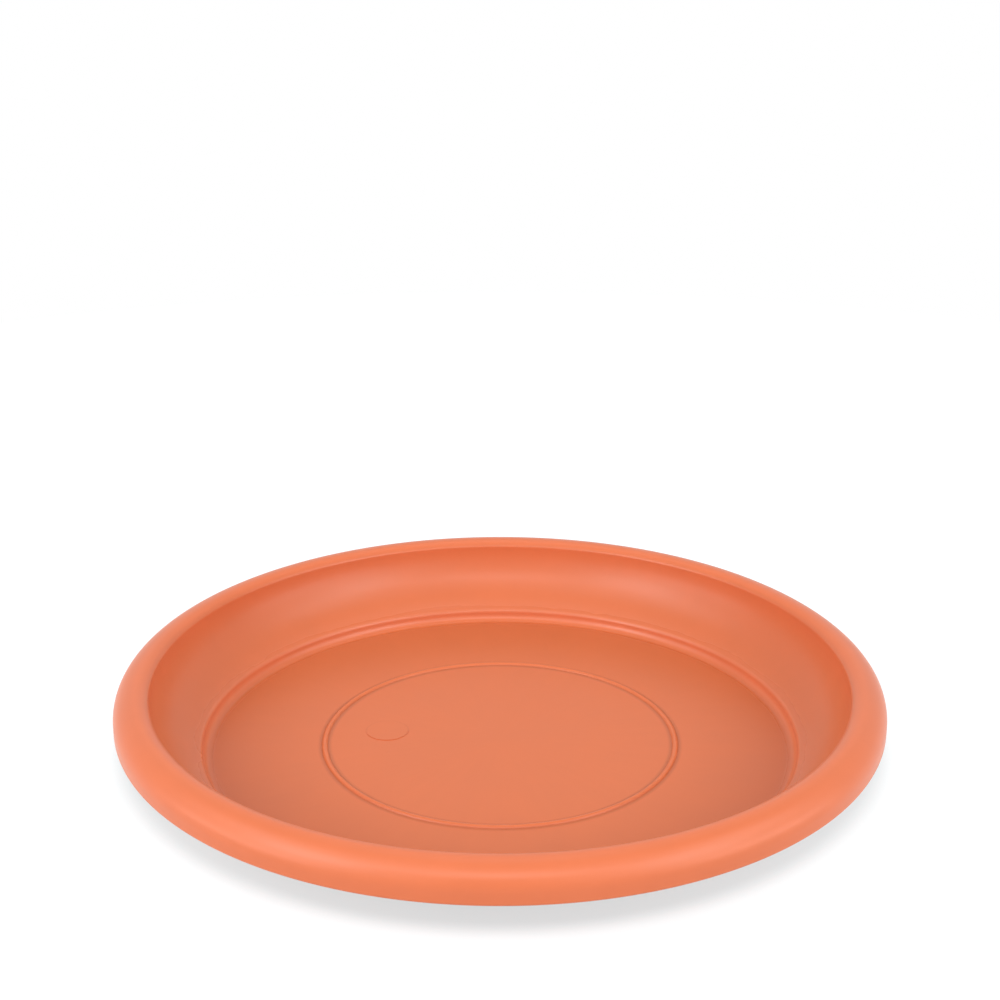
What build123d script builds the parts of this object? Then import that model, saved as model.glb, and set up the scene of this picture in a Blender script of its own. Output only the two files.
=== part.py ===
from build123d import *
from math import sqrt
import os

# A round plant saucer: one thin plastic moulding with a flat floor, a low step round it, a wall that
# curves up like a cove, and a rolled rim that is hollow underneath.
# Sizes are millimetres. The origin is the middle of the plane that the foot stands on, with +Z up.

# Driving sizes of the whole saucer
outer_diameter = 300.0  # across the rim
wall = 1.8  # thickness of the moulding
foot_height = 1.0  # the floor's underside stands this far above the table
step_rise = 4.9  # from the floor up to the corner where the wall starts
wall_rise = 23.0  # from that corner up to where the wall is upright

# Sizes of the rolled rim
rim_width = 13.8  # from the top of the wall out to the outside of the rim
crown_width = 4.7  # from the top of the wall out to the highest circle of the rim
crown_rise = 2.8  # from the top of the wall up to that circle
lip_round_share = 0.5  # of the crown's rise, tight arc where the wall turns over
roof_drop_share = 0.83  # of the wall, from the hollow's roof down to its inner corner
skirt_length = 4.4  # from where the outside of the rim is upright down to the free edge
edge_round_share = 0.7  # of the wall, outer corner of the free edge
edge_break_share = 0.2  # of the wall, inner corner of the free edge

# Sizes of the wall and its step
wall_width = 19.1  # from the step out to the top of the wall
step_blend_share = 0.62  # of the step, hollow corner between floor and step
step_round_share = 0.36  # of the step, rounded corner between step and wall
base_round_share = 0.55  # of the upright side of the base, its bottom corner
base_blend_share = 0.35  # of the upright side of the base, the corner under the wall

# Foot ring under the floor
foot_width = 3.0
foot_inset = 6.0  # from the step in to the outside of the foot ring
foot_chamfer_share = 0.4  # of the foot's height

# Bead ring on the floor, round the place of the pot
bead_diameter = 139.0  # to the middle of the bead
bead_width = 2.3
bead_height = 0.85

# Round mark that a mould insert leaves on the floor, with nothing on it
mark_diameter = 16.9
mark_height = 0.2
mark_distance = 45.8  # from the middle of the floor
mark_bearing = 171.3  # degrees from +X

# Nub that is left where the plastic was fed in, in a dimple under the middle
gate_diameter = 3.0
gate_length = 0.6
dimple_diameter = 12.0
dimple_depth_share = 0.25  # of the wall

# Radii and heights that follow from the driving sizes
rim_radius = outer_diameter / 2
wall_top_radius = rim_radius - rim_width
crown_radius = wall_top_radius + crown_width
step_radius = wall_top_radius - wall_width
base_radius = step_radius + wall
floor_top = foot_height + wall
step_top = floor_top + step_rise
wall_top = step_top + wall_rise
rim_top = wall_top + crown_rise
rim_arc = rim_radius - crown_radius
rim_centre_height = rim_top - rim_arc
edge_height = rim_centre_height - skirt_length

# The wall is an arc that ends upright at its top. Its underside shares the arc's centre.
wall_arc = (wall_width**2 + wall_rise**2) / (2 * wall_width)
under_arc = wall_arc + wall
under_drop = sqrt(wall_width * (2 * under_arc - wall_width))
base_side_top = wall_top - under_drop
base_side = base_side_top - foot_height

# The lip is a tight arc that meets the broader arc of the crown smoothly
lip_arc = lip_round_share * crown_rise
crown_arc = (crown_width**2 + crown_rise**2 - 2 * crown_width * lip_arc) / (2 * (crown_rise - lip_arc))
lip_centre = Vector(wall_top_radius + lip_arc, wall_top)
crown_centre = Vector(crown_radius, rim_top - crown_arc)
lip_way = (lip_centre - crown_centre).normalized()

# The hollow under the rim keeps one wall away from the rim's outside and from the wall's inside
hollow_outer = rim_radius - wall
hollow_top = rim_top - wall
roof_corner = hollow_top - roof_drop_share * wall
wall_centre = Vector(wall_top_radius - wall_arc, wall_top)
roof_end = wall_centre + Vector(sqrt(under_arc**2 - (wall_top - roof_corner)**2), roof_corner - wall_top)
under_way = (roof_end - wall_centre).normalized()

# What is added to the floor starts this deep inside it, so that the two join
root = wall / 2
foot_outer = step_radius - foot_inset
foot_inner = foot_outer - foot_width
bead_radius = bead_diameter / 2
bead_inner = bead_radius - bead_width / 2
bead_outer = bead_radius + bead_width / 2
bead_top = floor_top + bead_height
dimple_depth = dimple_depth_share * wall


def round_corner(section, distance, height, radius):
    """Round the corner of a half section that lies at this distance from the axis and this height."""
    fillet(section.vertices().sort_by_distance((distance, height))[0], radius=radius)


# The saucer
with BuildPart() as saucer:
    # Body: the half section, drawn with the axis at the left, is turned about +Z
    with BuildSketch(Plane.XZ) as body:
        with BuildLine():
            Line((0, floor_top), (step_radius, floor_top))
            Line((step_radius, floor_top), (step_radius, step_top))
            TangentArc((wall_top_radius, wall_top), (step_radius, step_top), tangent=(0, -1))
            lip_join = crown_centre + lip_way * crown_arc
            TangentArc((wall_top_radius, wall_top), lip_join, tangent=(0, 1))
            TangentArc((crown_radius, rim_top), lip_join, tangent=(-1, 0))
            TangentArc((crown_radius, rim_top), (rim_radius, rim_centre_height), tangent=(1, 0))
            Polyline(
                (rim_radius, rim_centre_height),
                (rim_radius, edge_height),
                (hollow_outer, edge_height),
                (hollow_outer, rim_centre_height))
            TangentArc((hollow_outer, rim_centre_height), (crown_radius, hollow_top), tangent=(0, 1))
            TangentArc((crown_radius, hollow_top), roof_end, tangent=(-1, 0))
            TangentArc(roof_end, (base_radius, base_side_top), tangent=(under_way.Y, -under_way.X))
            Polyline(
                (base_radius, base_side_top),
                (base_radius, foot_height),
                (0, foot_height),
                (0, floor_top))
        make_face()
        round_corner(body, step_radius, floor_top, step_blend_share * step_rise)
        round_corner(body, step_radius, step_top, step_round_share * step_rise)
        round_corner(body, rim_radius, edge_height, edge_round_share * wall)
        round_corner(body, hollow_outer, edge_height, edge_break_share * wall)
        round_corner(body, base_radius, foot_height, base_round_share * base_side)
        round_corner(body, base_radius, base_side_top, base_blend_share * base_side)
    revolve(axis=Axis.Z)

    # Foot: a narrow ring that the saucer rests on
    with BuildSketch(Plane.XY):
        Circle(foot_outer)
        Circle(foot_inner, mode=Mode.SUBTRACT)
    extrude(amount=foot_height + root)
    foot_edges = saucer.faces().sort_by(Axis.Z)[0].edges()
    chamfer(foot_edges, length=foot_chamfer_share * foot_height)

    # Bead: a low ridge with a round back
    with BuildSketch(Plane.XZ) as bead:
        with BuildLine():
            ThreePointArc((bead_inner, floor_top), (bead_radius, bead_top), (bead_outer, floor_top))
            Polyline(
                (bead_outer, floor_top),
                (bead_outer, floor_top - root),
                (bead_inner, floor_top - root),
                (bead_inner, floor_top))
        make_face()
    revolve(axis=Axis.Z)

    # Mark: a bare disc that stands just proud of the floor
    with BuildSketch(Plane.XY.offset(floor_top - root)):
        with PolarLocations(mark_distance, 1, start_angle=mark_bearing):
            Circle(mark_diameter / 2)
    extrude(amount=root + mark_height)

    # Gate: a dimple under the middle, with the nub standing in it
    with BuildSketch(Plane.XY.offset(foot_height)):
        Circle(dimple_diameter / 2)
    extrude(amount=dimple_depth, mode=Mode.SUBTRACT)
    with BuildSketch(Plane.XY.offset(foot_height + dimple_depth - gate_length)):
        Circle(gate_diameter / 2)
    extrude(amount=gate_length + root / 2)
saucer.part.label = "saucer"

os.makedirs("parts", exist_ok=True)
export_step(saucer.part, "parts/saucer.step")
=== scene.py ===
# %% [markdown]
# # A round plant saucer
# The object is one thin plastic moulding: a flat floor with a bead ring on it, a low step round the floor,
# a wall that curves up like a cove, and a rolled rim that is hollow underneath. The construction model
# gives its shape and size, and this file makes the piece that is seen, its plastic, and the studio. All of
# it is in metres, in the construction model's frame: the origin is the middle of the plane that the foot
# stands on, and +Z is up.

# %% Load the construction model
from math import asin, atan2, cos, degrees, hypot, pi, radians, sin, sqrt

import bpy
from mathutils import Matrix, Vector


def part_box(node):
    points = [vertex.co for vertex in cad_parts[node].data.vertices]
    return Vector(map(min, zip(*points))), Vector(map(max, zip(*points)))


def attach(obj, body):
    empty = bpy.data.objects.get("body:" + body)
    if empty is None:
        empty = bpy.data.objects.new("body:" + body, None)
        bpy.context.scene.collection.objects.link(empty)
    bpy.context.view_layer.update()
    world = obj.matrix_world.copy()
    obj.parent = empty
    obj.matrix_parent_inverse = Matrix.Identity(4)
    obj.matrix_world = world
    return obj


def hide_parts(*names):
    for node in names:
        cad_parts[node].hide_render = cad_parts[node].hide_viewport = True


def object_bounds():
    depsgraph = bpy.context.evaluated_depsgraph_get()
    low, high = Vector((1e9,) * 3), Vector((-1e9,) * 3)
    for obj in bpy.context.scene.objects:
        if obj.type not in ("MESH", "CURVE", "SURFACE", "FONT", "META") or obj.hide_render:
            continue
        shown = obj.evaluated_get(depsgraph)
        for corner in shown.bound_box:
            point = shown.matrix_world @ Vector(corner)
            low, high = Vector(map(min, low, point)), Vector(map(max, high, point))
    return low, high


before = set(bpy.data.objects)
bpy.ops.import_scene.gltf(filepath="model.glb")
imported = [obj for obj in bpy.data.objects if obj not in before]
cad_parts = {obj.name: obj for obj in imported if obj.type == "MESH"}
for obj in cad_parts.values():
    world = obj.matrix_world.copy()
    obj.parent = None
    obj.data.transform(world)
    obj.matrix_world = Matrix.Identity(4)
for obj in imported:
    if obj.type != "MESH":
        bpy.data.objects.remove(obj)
bpy.ops.object.select_all(action="DESELECT")
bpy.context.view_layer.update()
saucer_low, saucer_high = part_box("saucer")
MM = 0.001


def box_in_mm(low, high):
    """The two corners of a box as six rounded numbers, in millimetres."""
    return [round(value / MM, 2) for value in (*low, *high)]


print("box of the saucer alone, mm:", box_in_mm(saucer_low, saucer_high))

# %% [markdown]
# ## Sizes
# A turned shape is drawn as a half section: how far each point is from the axis, and how high it is. These
# are the saucer's own sizes in millimetres, the same as in the construction model, so that the seen piece
# and the solid behind it agree. The wall is an arc that ends upright at its top, and the rim is three arcs
# that meet smoothly, so most of the other values can be worked out.

# %% Sizes of the half section, in millimetres
WALL = 1.8
FOOT_HEIGHT = 1.0
FLOOR_TOP = 2.8
RIM_RADIUS = 150.0
LIP_RADIUS = 136.2  # where the wall is upright and the rim starts
CROWN_RADIUS = 140.9  # the highest circle of the rim
STEP_RADIUS = 117.1
STEP_TOP = 7.7
LIP_HEIGHT = 30.7
CROWN_HEIGHT = 33.5
EDGE_HEIGHT = 20.0

cove_width = LIP_RADIUS - STEP_RADIUS
cove_rise = LIP_HEIGHT - STEP_TOP
COVE_ARC = (cove_width**2 + cove_rise**2) / (2 * cove_width)
COVE_CENTRE = (LIP_RADIUS - COVE_ARC, LIP_HEIGHT)
print("arc of the wall, mm:", round(COVE_ARC, 3), "about", COVE_CENTRE)

# %% [markdown]
# ## A pen for the half section
# The half section could be typed as a long list of points, or drawn as a curve and converted. Drawing it
# the way a hand would in edit mode keeps it readable: one vertex is put on the axis and then extruded from
# place to place, along straight lines and arcs. Each call below draws one feature and carries on from
# where the last one stopped, so the chain never breaks.

# %% The pen: one vertex, extruded along lines and arcs
SAME_PLACE = 0.001  # an arc's first point is left out when the pen is already this near to it, in mm


def pen_down(radius, height):
    """Start a new mesh with a single vertex at this place of the half section."""
    bpy.ops.mesh.primitive_plane_add(size=MM, location=(radius * MM, 0, height * MM))
    bpy.ops.object.transform_apply(location=True, rotation=True, scale=True)
    bpy.ops.object.mode_set(mode="EDIT")
    bpy.ops.mesh.select_all(action="SELECT")
    bpy.ops.mesh.merge(type="CENTER")
    return [(radius, height)]


def line_to(path, radius, height, steps=1):
    """Extrude the last vertex in a straight line, in this many steps."""
    r0, z0 = path[-1]
    for step in range(1, steps + 1):
        r, z = r0 + (radius - r0) * step / steps, z0 + (height - z0) * step / steps
        move = ((r - path[-1][0]) * MM, 0, (z - path[-1][1]) * MM)
        bpy.ops.mesh.extrude_vertices_move(TRANSFORM_OT_translate={"value": move})
        path.append((r, z))


def arc_to(path, centre, size, start, end, steps):
    """Extrude the last vertex along an arc about a centre, between two angles in degrees."""
    for step in range(steps + 1):
        angle = radians(start + (end - start) * step / steps)
        r, z = centre[0] + size * cos(angle), centre[1] + size * sin(angle)
        if hypot(r - path[-1][0], z - path[-1][1]) > SAME_PLACE:
            line_to(path, r, z)


# %% [markdown]
# ## The floor and its bead ring
# The floor is flat, with a low bead moulded on it at 139 mm across that keeps a small pot off the wet. The
# bead catches light on its crest, and both its flanks look dark. It is drawn here as a round back with
# small hollow corners at its feet, as a cutter leaves them in the mould: two arcs that have to touch, so the
# place where they meet is worked out first. The two short steps on each side of it are support rings: they
# keep the smooth shading of the bead off the wide flat floor.

# %% Draw the floor and the bead
MIDDLE_RADIUS = 20  # the long thin faces that meet on the axis end here
BEAD_RADIUS = 69.5
BEAD_HALF = 1.15
BEAD_HEIGHT = 0.85
BEAD_FOOT = 0.6  # hollow corner at each foot of the bead
NEAR_SUPPORT, FAR_SUPPORT = 0.5, 3  # support rings, from the end of the bead's foot

bead_arc = (BEAD_HALF**2 + BEAD_HEIGHT**2) / (2 * BEAD_HEIGHT)
bead_middle = (BEAD_RADIUS, FLOOR_TOP + BEAD_HEIGHT - bead_arc)
foot_rise = FLOOR_TOP + BEAD_FOOT - bead_middle[1]
foot_reach = sqrt((bead_arc + BEAD_FOOT)**2 - foot_rise**2)
flank = degrees(atan2(foot_rise, foot_reach))

path = pen_down(0, FLOOR_TOP)
line_to(path, MIDDLE_RADIUS, FLOOR_TOP)
line_to(path, BEAD_RADIUS - foot_reach - FAR_SUPPORT, FLOOR_TOP, steps=4)
line_to(path, BEAD_RADIUS - foot_reach - NEAR_SUPPORT, FLOOR_TOP)
arc_to(path, (BEAD_RADIUS - foot_reach, FLOOR_TOP + BEAD_FOOT), BEAD_FOOT, -90, -flank, steps=5)
arc_to(path, bead_middle, bead_arc, 180 - flank, flank, steps=16)
arc_to(path, (BEAD_RADIUS + foot_reach, FLOOR_TOP + BEAD_FOOT), BEAD_FOOT, 180 + flank, 270, steps=5)
line_to(path, BEAD_RADIUS + foot_reach + NEAR_SUPPORT, FLOOR_TOP)
line_to(path, BEAD_RADIUS + foot_reach + FAR_SUPPORT, FLOOR_TOP)
print("floor and bead points:", len(path))

# %% [markdown]
# ## The step and the cove
# Round the floor the plastic turns up in a hollow corner, climbs a low upright step, and rolls over its
# top into the wall, which is one large hollow arc. The round of the step has to touch both the upright
# line and that arc, so its middle is worked out from the two distances that it must keep. The wall gets
# the most segments of all the arcs, so that low lamps that graze it show no facets.

# %% Draw the step and the wall
STEP_BLEND = 3.04  # hollow corner between floor and step
STEP_ROUND = 1.76  # rounded top of the step
STEP_SUPPORTS = (2, 0.4)  # support rings, from the start of the hollow corner

line_to(path, STEP_RADIUS - STEP_BLEND - STEP_SUPPORTS[0], FLOOR_TOP, steps=4)
line_to(path, STEP_RADIUS - STEP_BLEND - STEP_SUPPORTS[1], FLOOR_TOP)
arc_to(path, (STEP_RADIUS - STEP_BLEND, FLOOR_TOP + STEP_BLEND), STEP_BLEND, -90, 0, steps=12)
round_reach = STEP_RADIUS + STEP_ROUND - COVE_CENTRE[0]
round_middle = (STEP_RADIUS + STEP_ROUND,
                COVE_CENTRE[1] - sqrt((COVE_ARC + STEP_ROUND)**2 - round_reach**2))
cove_start = degrees(atan2(round_middle[1] - COVE_CENTRE[1], round_middle[0] - COVE_CENTRE[0]))
arc_to(path, round_middle, STEP_ROUND, 180, 180 + cove_start, steps=12)
arc_to(path, COVE_CENTRE, COVE_ARC, cove_start, 0, steps=44)
print("wall starts at", round(cove_start, 2), "degrees; points:", len(path))

# %% [markdown]
# ## The rolled rim
# The rim is what the eye meets first: a full, soft quarter-round on the outside and a much tighter lip on
# the inside, joined by a short arc over the crown. Neighbouring arcs share a line through both their
# middles, so they meet with no crease and the highlight runs over them unbroken.

# %% Draw the lip, the crown and the outside of the rim
LIP_ARC = 1.4
crown_width, crown_rise = CROWN_RADIUS - LIP_RADIUS, CROWN_HEIGHT - LIP_HEIGHT
crown_arc = (crown_width**2 + crown_rise**2 - 2 * crown_width * LIP_ARC) / (2 * (crown_rise - LIP_ARC))
crown_middle = (CROWN_RADIUS, CROWN_HEIGHT - crown_arc)
lip_middle = (LIP_RADIUS + LIP_ARC, LIP_HEIGHT)
lip_end = degrees(atan2(lip_middle[1] - crown_middle[1], lip_middle[0] - crown_middle[0]))
arc_to(path, lip_middle, LIP_ARC, 180, lip_end, steps=10)
arc_to(path, crown_middle, crown_arc, lip_end, 90, steps=10)

rim_arc = RIM_RADIUS - CROWN_RADIUS
rim_middle = (CROWN_RADIUS, CROWN_HEIGHT - rim_arc)
arc_to(path, rim_middle, rim_arc, 90, 0, steps=26)
print("rim arcs, mm:", [round(v, 2) for v in (LIP_ARC, crown_arc, rim_arc)])

# %% [markdown]
# ## The free edge and the hollow under the rim
# The rim ends in a short upright skirt. Its outer corner is well rounded and its inner one only just
# broken, as on most mouldings of this kind. From there the pen climbs back inside the rim, one wall
# thickness in from the arcs above, and comes down the back of the wall.

# %% Draw the free edge, the hollow and the back of the wall
EDGE_ROUND, EDGE_BREAK = 1.26, 0.36
ROOF_DROP = 1.494  # from the hollow's roof down to its inner corner
inside = RIM_RADIUS - WALL
line_to(path, RIM_RADIUS, EDGE_HEIGHT + EDGE_ROUND, steps=3)
arc_to(path, (RIM_RADIUS - EDGE_ROUND, EDGE_HEIGHT + EDGE_ROUND), EDGE_ROUND, 0, -90, steps=7)
arc_to(path, (inside + EDGE_BREAK, EDGE_HEIGHT + EDGE_BREAK), EDGE_BREAK, -90, -180, steps=4)
line_to(path, inside, rim_middle[1], steps=3)
arc_to(path, rim_middle, rim_arc - WALL, 0, 90, steps=16)

under_arc = COVE_ARC + WALL
roof_corner = CROWN_HEIGHT - WALL - ROOF_DROP
back_start = degrees(asin((roof_corner - COVE_CENTRE[1]) / under_arc))
roof_width = CROWN_RADIUS - COVE_CENTRE[0] - under_arc * cos(radians(back_start))
roof_arc = (roof_width**2 + ROOF_DROP**2) / (2 * ROOF_DROP)
roof_turn = degrees(asin(roof_width / roof_arc))
arc_to(path, (CROWN_RADIUS, CROWN_HEIGHT - WALL - roof_arc), roof_arc, 90, 90 + roof_turn, steps=7)
print("hollow is", round(inside - LIP_RADIUS - WALL, 2), "mm wide; points:", len(path))

# %% [markdown]
# ## The underside
# The photograph does not show the underside, so it is what such a moulding has: the back of the wall and
# of the step, a flat base with a rounded corner, and a narrow ring foot. The foot is 1 mm high, so that the
# large flat base need not be true to the table for the saucer to stand still.

# %% Draw the back of the wall, the base and the ring foot
BASE_RADIUS = STEP_RADIUS + WALL
BASE_BLEND, BASE_ROUND = 1.838, 2.888  # hollow corner under the wall, and bottom corner of the base
BACK_STEP = 3  # degrees from the roof's corner to the next point on the back of the wall
FOOT_OUTER, FOOT_INNER = 111.1, 108.1
FOOT_BREAK = 0.4  # rounded edges of the ring
FOOT_ROOT = 0.3  # hollow corners where the ring meets the base
FOOT_SUPPORT = 0.4  # support ring outside the hollow corner, from the ring
BASE_SUPPORT = 1  # support ring on the flat base, from what stands on it or is sunk into it

blend_reach = BASE_RADIUS + BASE_BLEND - COVE_CENTRE[0]
blend_middle = (BASE_RADIUS + BASE_BLEND,
                COVE_CENTRE[1] - sqrt((under_arc + BASE_BLEND)**2 - blend_reach**2))
under_end = degrees(atan2(blend_middle[1] - COVE_CENTRE[1], blend_middle[0] - COVE_CENTRE[0]))
arc_to(path, COVE_CENTRE, under_arc, back_start - BACK_STEP, under_end, steps=18)
arc_to(path, blend_middle, BASE_BLEND, 180 + under_end, 180, steps=7)
arc_to(path, (BASE_RADIUS - BASE_ROUND, FOOT_HEIGHT + BASE_ROUND), BASE_ROUND, 0, -90, steps=8)
line_to(path, FOOT_OUTER + FOOT_SUPPORT, FOOT_HEIGHT, steps=2)
arc_to(path, (FOOT_OUTER + FOOT_ROOT, FOOT_HEIGHT - FOOT_ROOT), FOOT_ROOT, 90, 180, steps=3)
arc_to(path, (FOOT_OUTER - FOOT_BREAK, FOOT_BREAK), FOOT_BREAK, 0, -90, steps=4)
arc_to(path, (FOOT_INNER + FOOT_BREAK, FOOT_BREAK), FOOT_BREAK, -90, -180, steps=4)
arc_to(path, (FOOT_INNER - FOOT_ROOT, FOOT_HEIGHT - FOOT_ROOT), FOOT_ROOT, 0, 90, steps=3)
line_to(path, FOOT_INNER - BASE_SUPPORT, FOOT_HEIGHT)
print("points down to the ring foot:", len(path))

# %% [markdown]
# ## The gate
# In the middle of the base there is a shallow dimple, and in it stands the nub where the plastic was fed in.
# The nub ends above the plane of the foot, so that the saucer stands on its ring alone. With it the pen
# comes back to the axis, where the half section ends.

# %% Draw the dimple and the gate nub, down to the axis
GATE_RADIUS, GATE_END, GATE_BREAK = 1.5, 0.85, 0.15
DIMPLE_RADIUS, DIMPLE_TOP, DIMPLE_BREAK = 6.0, 1.45, 0.2
line_to(path, DIMPLE_RADIUS + BASE_SUPPORT, FOOT_HEIGHT, steps=5)
arc_to(path, (DIMPLE_RADIUS + DIMPLE_BREAK, FOOT_HEIGHT + DIMPLE_BREAK), DIMPLE_BREAK, -90, -180, steps=3)
line_to(path, DIMPLE_RADIUS, DIMPLE_TOP)
line_to(path, GATE_RADIUS, DIMPLE_TOP, steps=2)
line_to(path, GATE_RADIUS, GATE_END + GATE_BREAK)
line_to(path, GATE_RADIUS - GATE_BREAK, GATE_END)
line_to(path, 0, GATE_END)
print("half section points:", len(path))

# %% [markdown]
# ## Turning the half section
# Spin turns the chain once about the axis, as a potter's wheel or a lathe would. The first and the last
# turn then lie on each other, and each end on the axis is a heap of points in one place, so doubles are
# merged: that closes the seam and both poles. Only after that are the normals made to point outwards.

# %% Spin, close the seam and the poles
TURNS = 320
MERGE_GAP = 0.01 * MM
bpy.ops.mesh.select_all(action="SELECT")
bpy.ops.mesh.spin(steps=TURNS, angle=2 * pi, center=(0, 0, 0), axis=(0, 0, 1))
bpy.ops.mesh.select_all(action="SELECT")
bpy.ops.mesh.remove_doubles(threshold=MERGE_GAP)
bpy.ops.mesh.normals_make_consistent(inside=False)
bpy.ops.mesh.select_all(action="DESELECT")
bpy.ops.object.mode_set(mode="OBJECT")
moulding = bpy.context.object
moulding.name = moulding.data.name = "saucer_moulding"
print("turned:", len(moulding.data.vertices), "points,", len(moulding.data.polygons), "faces")

# %% [markdown]
# ## The round mark on the floor
# Left of the middle the photograph shows a faint disc, 17 mm across: the end of a steel insert in the
# mould, which never lies quite flush. It is bare. It is made as a short cylinder, sunk into the floor so
# that only the mark's height stands out. Its top is inset twice, which lays narrow faces along the edge
# and keeps the large face in the middle flat.

# %% Make the insert mark
MARK_RADIUS, MARK_HEIGHT = 8.45, 0.2
MARK_DISTANCE, MARK_TURN = 45.8, 8.7  # from the axis, and in degrees from -X towards +Y
MARK_DEPTH = 1.2  # of the whole cylinder
MARK_INSETS = (0.6, 1.5)
POINTS_UP = 0.9  # a face whose normal has at least this much of +Z belongs to the top
MARK_PLACE = (-MARK_DISTANCE * cos(radians(MARK_TURN)), MARK_DISTANCE * sin(radians(MARK_TURN)))

bpy.ops.object.select_all(action="DESELECT")
bpy.ops.mesh.primitive_cylinder_add(
    vertices=96, radius=MARK_RADIUS * MM, depth=MARK_DEPTH * MM,
    location=(MARK_PLACE[0] * MM, MARK_PLACE[1] * MM, (FLOOR_TOP + MARK_HEIGHT - MARK_DEPTH / 2) * MM))
mark = bpy.context.object
bpy.ops.object.transform_apply(location=True, rotation=True, scale=True)
bpy.ops.object.mode_set(mode="EDIT")
bpy.ops.mesh.select_all(action="DESELECT")
bpy.ops.object.mode_set(mode="OBJECT")
for face in mark.data.polygons:
    face.select = face.normal.z > POINTS_UP
bpy.ops.object.mode_set(mode="EDIT")
for thickness in MARK_INSETS:
    bpy.ops.mesh.inset(thickness=thickness * MM)
bpy.ops.mesh.select_all(action="DESELECT")
bpy.ops.object.mode_set(mode="OBJECT")
print("mark faces:", len(mark.data.polygons))

# %% [markdown]
# ## Joining the mark to the floor
# A disc that only lies in the floor would leave hidden faces inside the plastic. A Boolean modifier makes
# the two one skin, and once it is applied, the cylinder itself is no longer needed.

# %% Join the mark to the moulding
bpy.ops.object.select_all(action="DESELECT")
bpy.context.view_layer.objects.active = moulding
moulding.select_set(True)
joiner = moulding.modifiers.new("insert mark", "BOOLEAN")
joiner.operation, joiner.solver, joiner.object = "UNION", "EXACT", mark
bpy.ops.object.modifier_apply(modifier=joiner.name)
bpy.data.objects.remove(mark)
print("with the mark:", len(moulding.data.vertices), "points")

# %% [markdown]
# ## Smooth shading
# Every arc has small enough steps to be shaded smooth. Only true corners, such as the foot of the gate
# nub and the edge of the mark, turn by more than the limit given here and stay crisp.

# %% Shade, ride on the root body, and hide the saucer of the construction model
CREASE_ANGLE = 32
bpy.ops.object.shade_smooth_by_angle(angle=radians(CREASE_ANGLE))
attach(moulding, "root")
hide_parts("saucer")
low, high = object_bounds()
print("moulding box, mm:", box_in_mm(low, high))

# %% [markdown]
# ## A helper for shader maths
# The plastic's colour, gloss and grain are worked out from the place on the saucer. Wiring every sum by
# hand hides the idea, so a small class wraps a node's output and gives it the usual signs: a sum written
# in Python adds the Math nodes. Any other node comes from its one method, node.

# %% Wire: a node's output that can be used in sums
class Wire:
    """An output of a material's nodes. Sums on it add Math nodes, and node() adds any other node."""

    def __init__(self, tree, socket=None):
        self.tree = tree
        self.socket = socket

    def node(self, kind, settings=None, inputs=None, output=0):
        """Add a node, set it up, wire or fill its sockets, and give back one of its outputs."""
        made = self.tree.nodes.new(kind)
        for name, value in (settings or {}).items():
            setattr(made, name, value)
        for name, value in (inputs or {}).items():
            if isinstance(value, Wire):
                self.tree.links.new(value.socket, made.inputs[name])
            else:
                made.inputs[name].default_value = value
        return Wire(self.tree, made.outputs[output] if made.outputs else None)

    def beside(self, output):
        """Another output of the same node."""
        return Wire(self.tree, self.socket.node.outputs[output])

    def maths(self, operation, *values):
        return self.node("ShaderNodeMath", {"operation": operation}, dict(enumerate(values)))

    def __add__(self, other):
        return self.maths("ADD", self, other)

    __radd__ = __add__

    def __sub__(self, other):
        return self.maths("SUBTRACT", self, other)

    def __rsub__(self, other):
        return self.maths("SUBTRACT", other, self)

    def __mul__(self, other):
        return self.maths("MULTIPLY", self, other)

    __rmul__ = __mul__

    def __pow__(self, other):
        return self.maths("POWER", self, other)

    def __abs__(self):
        return self.maths("ABSOLUTE", self)


# %% [markdown]
# ## Terracotta polypropylene
# The plastic is satin: it has a soft broad highlight and no mirror image. It could be one plain colour, but
# then it would look like paint, so the next cells lay several faint things over each other: some are the
# moulding's own, such as the drift of the pigment and wear, and some are painted light and shade. All of
# them
# start from where a point is: how far from the axis, and how high. Both come from Object coordinates, so the
# pattern belongs to the piece and not to the view.

# %% Start the plastic: its colours, and where a point is
# the three colours differ by painted light and shade: the rim lighter, the wall less saturated
FLOOR_COLOUR = (0.69, 0.167, 0.058, 1)
WALL_COLOUR = (0.655, 0.171, 0.068, 1)
RIM_COLOUR = (0.73, 0.178, 0.070, 1)
# pale colour: painted sheen on the step's upright, and wear on the ring foot
SHEEN_AND_WEAR_COLOUR = (0.72, 0.215, 0.11, 1)

plastic = bpy.data.materials.new("terracotta_polypropylene")
plastic.use_nodes = True
nodes, links = plastic.node_tree.nodes, plastic.node_tree.links
shader = nodes["Principled BSDF"]
start = Wire(plastic.node_tree)
place = start.node("ShaderNodeTexCoord", output="Object")
across = start.node("ShaderNodeSeparateXYZ", inputs={0: place}, output="X")
depth, height = across.beside("Y"), across.beside("Z")
radius = (across * across + depth * depth) ** 0.5
print("colours of floor, wall and rim:", FLOOR_COLOUR[:3], WALL_COLOUR[:3], RIM_COLOUR[:3])

# %% [markdown]
# ## Masks
# A mask is a number between 0 and 1 that says how much of something a place gets. The masks here are soft
# ramps over a length, and a ramp up with a ramp down after it makes a band. The limits are in millimetres,
# as in the half section. The first mask keeps what belongs to the upper face off the underside of the
# floor: the floor's two faces lie 1.0 and 2.8 mm high, and the ramp is between them.

# %% Helpers for masks
def ease(length, low, high):
    """0 below low, 1 above high, and a soft ramp between them, in millimetres."""
    return length.node("ShaderNodeMapRange", {"interpolation_type": "SMOOTHSTEP"}, {
        "Value": length, "From Min": low * MM, "From Max": high * MM}, output="Result")


def band(length, low, full, fade, high):
    """0 below low and above high, 1 from full to fade, and soft ramps between them."""
    return ease(length, low, full) * (1 - ease(length, fade, high))


upper_face = ease(height, 2.0, 2.4)
print("nodes up to the first mask:", len(nodes))

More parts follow.
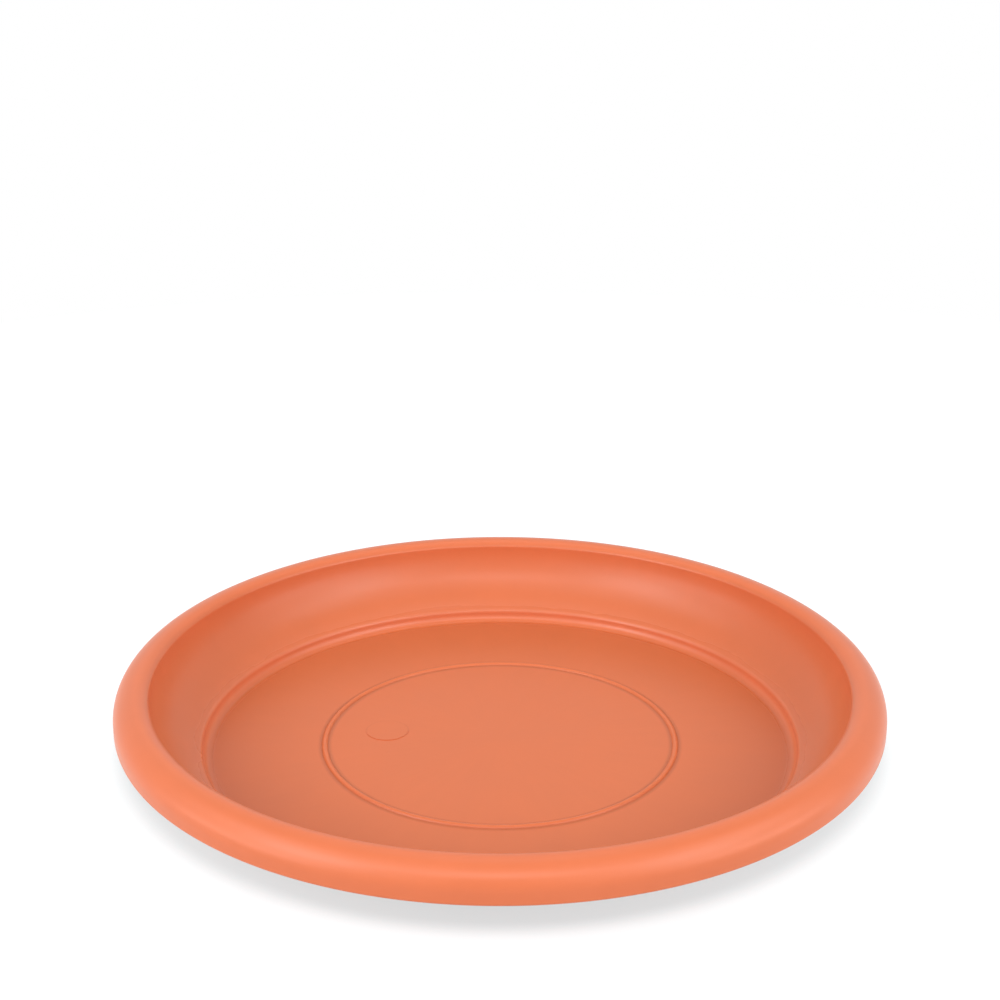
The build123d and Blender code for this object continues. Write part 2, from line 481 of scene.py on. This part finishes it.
# %% [markdown]
# ## The drift of the pigment
# The pigment is stirred into the melt, so the tone drifts by a few percent over some centimetres. The melt
# ran out from the gate in the middle, which draws the drift out along the radius: the second noise reads
# the angle and the radius in place of X and Y, so its clouds become long streaks that fan out.

# %% Mix the clouds and the streaks
STREAKS_ROUND, STREAKS_OUT = 5.0, 9.0  # how fast the streaks change with the angle and with the radius
drift = start.node("ShaderNodeTexNoise", inputs={
    "Vector": place, "Scale": 38.0, "Detail": 3.0, "Roughness": 0.55}, output="Fac")
turn = start.node("ShaderNodeMath", {"operation": "ARCTAN2"}, {0: depth, 1: across})
fan = start.node("ShaderNodeCombineXYZ", inputs={"X": turn * STREAKS_ROUND, "Y": radius * STREAKS_OUT})
streak = start.node("ShaderNodeTexNoise", inputs={
    "Vector": fan, "Scale": 3.0, "Detail": 2.0, "Roughness": 0.5}, output="Fac")
tone = drift * 0.7 + streak * 0.3
print("nodes up to the drift:", len(nodes))

# %% [markdown]
# ## Colour from the floor to the rim
# The floor, the wall and the rim each get a colour, and soft ramps over the radius lead from one to the
# next.
# Their small differences are painted light and shade, in place of shading that the lamps don't give. The
# upright of the step is made paler half-way, a painted sheen, and the lowest half millimetre of the ring
# foot is rubbed paler by wear.

# %% Mix the colours by place
def blend(colour, other, share):
    """Mix two colours of the plastic by this share."""
    return start.node("ShaderNodeMix", {"data_type": "RGBA"}, {
        "Factor": share, "A": colour, "B": other}, output="Result")


# painted sheen: the upright of the step is made paler half-way
riser_painted_sheen = band(radius, 115.4, 116.9, 117.6, 118.6) * upper_face
worn_foot = 1 - ease(height, 0.1, 0.5)
tint = blend(FLOOR_COLOUR, WALL_COLOUR, ease(radius, 117, 130))
tint = blend(tint, RIM_COLOUR, ease(radius, 134, 139))
tint = blend(tint, SHEEN_AND_WEAR_COLOUR, riser_painted_sheen * 0.5)
tint = blend(tint, SHEEN_AND_WEAR_COLOUR, worn_foot * 0.7)
print("nodes up to the colour:", len(nodes))

# %% [markdown]
# ## The lines at the bead and the mark
# The corners at the bead's feet get a dark line of painted shade, deeper than the lamps alone make it, and
# the crest between them a painted highlight. Both are masks over the distance from the bead's circle. The
# mark is so low that little more of it shows than a thin line of painted shade round its edge.

# %% Masks for the bead and the mark
from_bead = abs(radius - BEAD_RADIUS * MM)
# painted shade: a dark line in the corners at the bead's feet
bead_corner_painted_shade = band(from_bead, 0.8, 1.2, 1.2, 3.2) * upper_face
# painted highlight on the bead's crest
bead_crest_painted_highlight = (1 - ease(from_bead, 0.3, 0.9)) * upper_face
mark_top = (MARK_PLACE[0] * MM, MARK_PLACE[1] * MM, (FLOOR_TOP + MARK_HEIGHT) * MM)
from_mark = start.node("ShaderNodeVectorMath", {"operation": "DISTANCE"}, {
    0: place, 1: mark_top}, output="Value")
# painted shade: a thin dark line round the edge of the mark
mark_edge_painted_shade = (1 - ease(abs(from_mark - MARK_RADIUS * MM), 0.1, 0.6)) * upper_face
print("nodes up to the lines:", len(nodes))

# %% [markdown]
# ## One shade for all of them
# The floor is a little lighter in the middle and darker towards the step, and the crown of the rim is
# slightly bright: both are painted light and shade. These and the masks above are added up to one shade near
# 1, and the mixed colour is scaled by it. Vector Math does the scaling, because a Math node would turn the
# colour grey.

# %% Add up the shade and colour the plastic
on_floor = 1 - ease(radius, 113, 116.5)
# painted shade: the floor lighter in the middle and darker towards the step
floor_painted_shade = (0.04 - ease(radius, 50, 116) * 0.14) * on_floor
# painted light: the crown of the rim a little brighter
rim_crown_painted_light = band(radius, 136.6, 138.2, 141, 144) * ease(height, 30, 32)
shade = 0.95 + tone * 0.1 + floor_painted_shade + rim_crown_painted_light * 0.05
shade = shade + bead_crest_painted_highlight * 0.05 - bead_corner_painted_shade * 0.24 - mark_edge_painted_shade * 0.05
shaded = start.node("ShaderNodeVectorMath", {"operation": "SCALE"}, {
    0: tint, "Scale": shade}, output="Vector")
links.new(shaded.socket, shader.inputs["Base Color"])
print("nodes up to the shade:", len(nodes))

# %% [markdown]
# ## Gloss and grain
# Such moulds are spark-eroded, which leaves an even grain of about a third of a millimetre. It is too fine
# for geometry and is made as bump. The gloss drifts with the tone. It is a little sharper on the step,
# whose highlights are narrow in the photograph, and dull on the rubbed foot.

# %% Finish the plastic
GRAIN_DEPTH = 0.00003  # in metres
step_band = band(radius, 111, 114, 118, 126)
gloss = 0.30 + drift * 0.08 - step_band * 0.08 + worn_foot * 0.15
links.new(gloss.socket, shader.inputs["Roughness"])
grain = start.node("ShaderNodeTexNoise", inputs={
    "Vector": place, "Scale": 2600.0, "Detail": 2.0, "Roughness": 0.5}, output="Fac")
bump = start.node("ShaderNodeBump", inputs={
    "Strength": 0.35, "Distance": GRAIN_DEPTH, "Height": grain}, output="Normal")
links.new(bump.socket, shader.inputs["Normal"])
shader.inputs["IOR"].default_value = 1.5
shader.inputs["Specular IOR Level"].default_value = 0.3
moulding.data.materials.clear()
moulding.data.materials.append(plastic)
print("plastic nodes:", len(nodes))

# %% [markdown]
# ## The white table
# The saucer stands on a plain white sheet. It is laid a hair's breadth under the foot, because two faces
# in the same plane flicker. It is part of the studio and not of the object.
#
# The background has to be white to the camera, yet more light on the saucer would bleach it. So the sheet
# answers two kinds of rays in two ways, and so does the room further down. Light Path tells the rays from
# each other, and one function asks it.

# %% Lay the sheet, and tell the camera's rays from the others
TABLE_RADIUS = 0.75  # in metres
TABLE_DROP = 0.05  # in millimetres


def looked_at(wire):
    """1 for a ray from the camera, straight or through a reflection or glass, and 0 for any other."""
    straight = wire.node("ShaderNodeLightPath", output="Is Camera Ray")
    mirrored, through = straight.beside("Is Glossy Ray"), straight.beside("Is Transmission Ray")
    return wire.maths("MAXIMUM", straight, wire.maths("MAXIMUM", mirrored, through))


bpy.ops.mesh.primitive_circle_add(
    vertices=128, radius=TABLE_RADIUS, fill_type="NGON", location=(0, 0, -TABLE_DROP * MM))
bpy.ops.object.transform_apply(location=True, rotation=True, scale=True)
table = bpy.context.object
table.name = "table"
print("table is", 2 * TABLE_RADIUS, "m across and", TABLE_DROP, "mm under the foot")

# %% [markdown]
# ## The paper of the sheet
# For light that bounces off it, the sheet is plain white paper. What the camera sees of it, directly or in
# a reflection, is a greyer paper with an even glow of its own: it reaches white away from the saucer, and
# the lamps need not be turned up. The glow is weaker in a disc under the saucer, a painted shadow, and that
# makes a large part of the soft grey round the foot. The disc lies a little to the back, as the shadow in
# the photograph does, because the lamps stand in front. Its glow is slightly cold, so that the warm light
# which the saucer throws on the sheet looks grey. Seen from below, the sheet is clear, so that the
# underside can be looked at.

# %% Make the paper
# glow inside the disc of painted shadow under the saucer, and outside it
PAINTED_SHADOW_GLOW = (0.57, 0.625, 0.635, 1)
OPEN_GLOW = (0.8, 0.84, 0.85, 1)
SHADOW_DISC_MIDDLE = (0, 0.0215, 0)  # in metres
SHADOW_DISC_EDGE = (148, 160)  # the glow rises between these radii, in millimetres

paper = bpy.data.materials.new("white_sweep")
paper.use_nodes = True
paper.node_tree.nodes.clear()
sheet = Wire(paper.node_tree)
white_paper = sheet.node("ShaderNodeBsdfDiffuse", inputs={"Color": (0.8, 0.8, 0.8, 1)})
grey_paper = sheet.node("ShaderNodeBsdfDiffuse", inputs={"Color": (0.3, 0.3, 0.3, 1)})
spot = sheet.node("ShaderNodeTexCoord", output="Object")
from_shadow_disc = sheet.node("ShaderNodeVectorMath", {"operation": "DISTANCE"}, {
    0: spot, 1: SHADOW_DISC_MIDDLE}, output="Value")
glow_colour = sheet.node("ShaderNodeMix", {"data_type": "RGBA"}, {
    "Factor": ease(from_shadow_disc, *SHADOW_DISC_EDGE), "A": PAINTED_SHADOW_GLOW, "B": OPEN_GLOW}, output="Result")
glow = sheet.node("ShaderNodeEmission", inputs={"Color": glow_colour, "Strength": 1.0})
glowing = sheet.node("ShaderNodeAddShader", inputs={0: grey_paper, 1: glow})
from_above = sheet.node("ShaderNodeMixShader", inputs={0: looked_at(sheet), 1: white_paper, 2: glowing})
clear = sheet.node("ShaderNodeBsdfTransparent")
back_face = sheet.node("ShaderNodeNewGeometry", output="Backfacing")
both = sheet.node("ShaderNodeMixShader", inputs={0: back_face, 1: from_above, 2: clear})
sheet.node("ShaderNodeOutputMaterial", inputs={"Surface": both})
table.data.materials.append(paper)
print("paper nodes:", len(paper.node_tree.nodes))

# %% [markdown]
# ## Studio light
# The shading of the photographed wall and rim was traced back to where the light came from: two large soft
# sources in front, left and right of the camera. Each is built here from several square lamps, the left
# one a little stronger in all. A weak pair of lamps above helps them.

# %% Add the lamps
LAMP_DISTANCE = 1.6  # in metres
LAMP_WIDTH = 0.7


def soft_lamp(name, azimuth, elevation, power, width=LAMP_WIDTH):
    """A square soft lamp that faces the saucer. Azimuth 0 is behind the camera, 90 to the right."""
    bearing, tilt = radians(azimuth), radians(elevation)
    where = Vector((sin(bearing) * cos(tilt), -cos(bearing) * cos(tilt), sin(tilt))) * LAMP_DISTANCE
    lamp = bpy.data.lights.new(name, "AREA")
    lamp.shape, lamp.size, lamp.energy = "SQUARE", width, power
    holder = bpy.data.objects.new(name, lamp)
    bpy.context.scene.collection.objects.link(holder)
    holder.location = where
    holder.rotation_euler = (-where).to_track_quat("-Z", "Y").to_euler()
    return holder


# Name, azimuth and elevation in degrees, watts of the left lamp and of the right one
pairs = (("key", 55, 35, 9.3, 7.3), ("low", 55, 15, 2.3, 2.2), ("near", 30, 20, 1.4, 1.9),
         ("high", 55, 60, 1.8, 0.8), ("side", 85, 45, 3.2, 3.5), ("skim", 85, 20, 1.2, 1.5))
for name, azimuth, elevation, left_power, right_power in pairs:
    soft_lamp(name + "_left", -azimuth, elevation, left_power)
    soft_lamp(name + "_right", azimuth, elevation, right_power)
soft_lamp("above_front", 0, 60, 0.7)
soft_lamp("above_back", 180, 65, 1.5)
print("lamps:", len(bpy.data.lights), "with", round(sum(lamp.energy for lamp in bpy.data.lights), 1), "W")

# %% [markdown]
# ## Cards for the gloss
# Three white cards are seen only in the plastic's gloss: one over the camera, for the pale band on the far
# wall, and one low on each side, for the streaks on the outside of the rim. They are long lamps that give
# no diffuse light, so they move a highlight and leave the colour alone.

# %% Add the cards
def gloss_card(name, azimuth, elevation, power, width, tall):
    """A long lamp that shows only in reflections."""
    card = soft_lamp(name, azimuth, elevation, power, width)
    card.data.shape, card.data.size_y = "RECTANGLE", tall
    card.visible_diffuse = False


gloss_card("white_card", 0, 48, 6.5, 1.2, 0.5)
gloss_card("low_card_left", -70, 7, 5.0, 1.3, 0.38)
gloss_card("low_card_right", 70, 7, 5.0, 1.3, 0.38)
print("lamps and cards:", len(bpy.data.lights))

# %% [markdown]
# ## The white room
# The room fills the shadows with a weak even light. Where the camera looks at it, directly or in a
# reflection, it is plain white, so that the background of the picture is white too.

# %% Add the room
FILL_STRENGTH = 0.245
world = bpy.data.worlds.new("white_room")
bpy.context.scene.world = world
world.use_nodes = True
world.node_tree.nodes.clear()
air = Wire(world.node_tree)
fill = air.node("ShaderNodeBackground", inputs={"Color": (1, 1, 1, 1), "Strength": FILL_STRENGTH})
backdrop = air.node("ShaderNodeBackground", inputs={"Color": (1, 1, 1, 1), "Strength": 1.0})
mixed = air.node("ShaderNodeMixShader", inputs={0: looked_at(air), 1: fill, 2: backdrop})
air.node("ShaderNodeOutputWorld", inputs={"Surface": mixed})
print("room nodes:", len(world.node_tree.nodes))

# %% [markdown]
# ## The camera
# The ellipses of the floor, the bead and the rim in the photograph all fit one camera, about 0.76 m from the
# middle of the floor and 27 degrees above it, aimed so that the saucer lies in the lower half.

# %% Set up the camera
CAMERA_PLACE = (0, -0.6705, 0.3504)
LOOKING_DOWN = 20.17  # degrees
camera_data = bpy.data.cameras.new("camera")
camera_data.lens, camera_data.sensor_width = 67.68, 36.0
camera = bpy.data.objects.new("camera", camera_data)
bpy.context.scene.collection.objects.link(camera)
camera.location = CAMERA_PLACE
camera.rotation_euler = (radians(90 - LOOKING_DOWN), 0, 0)
bpy.context.scene.camera = camera
bpy.context.scene.view_settings.view_transform = "Standard"
print("camera at", CAMERA_PLACE, "with a lens of", round(camera_data.lens, 2), "mm")
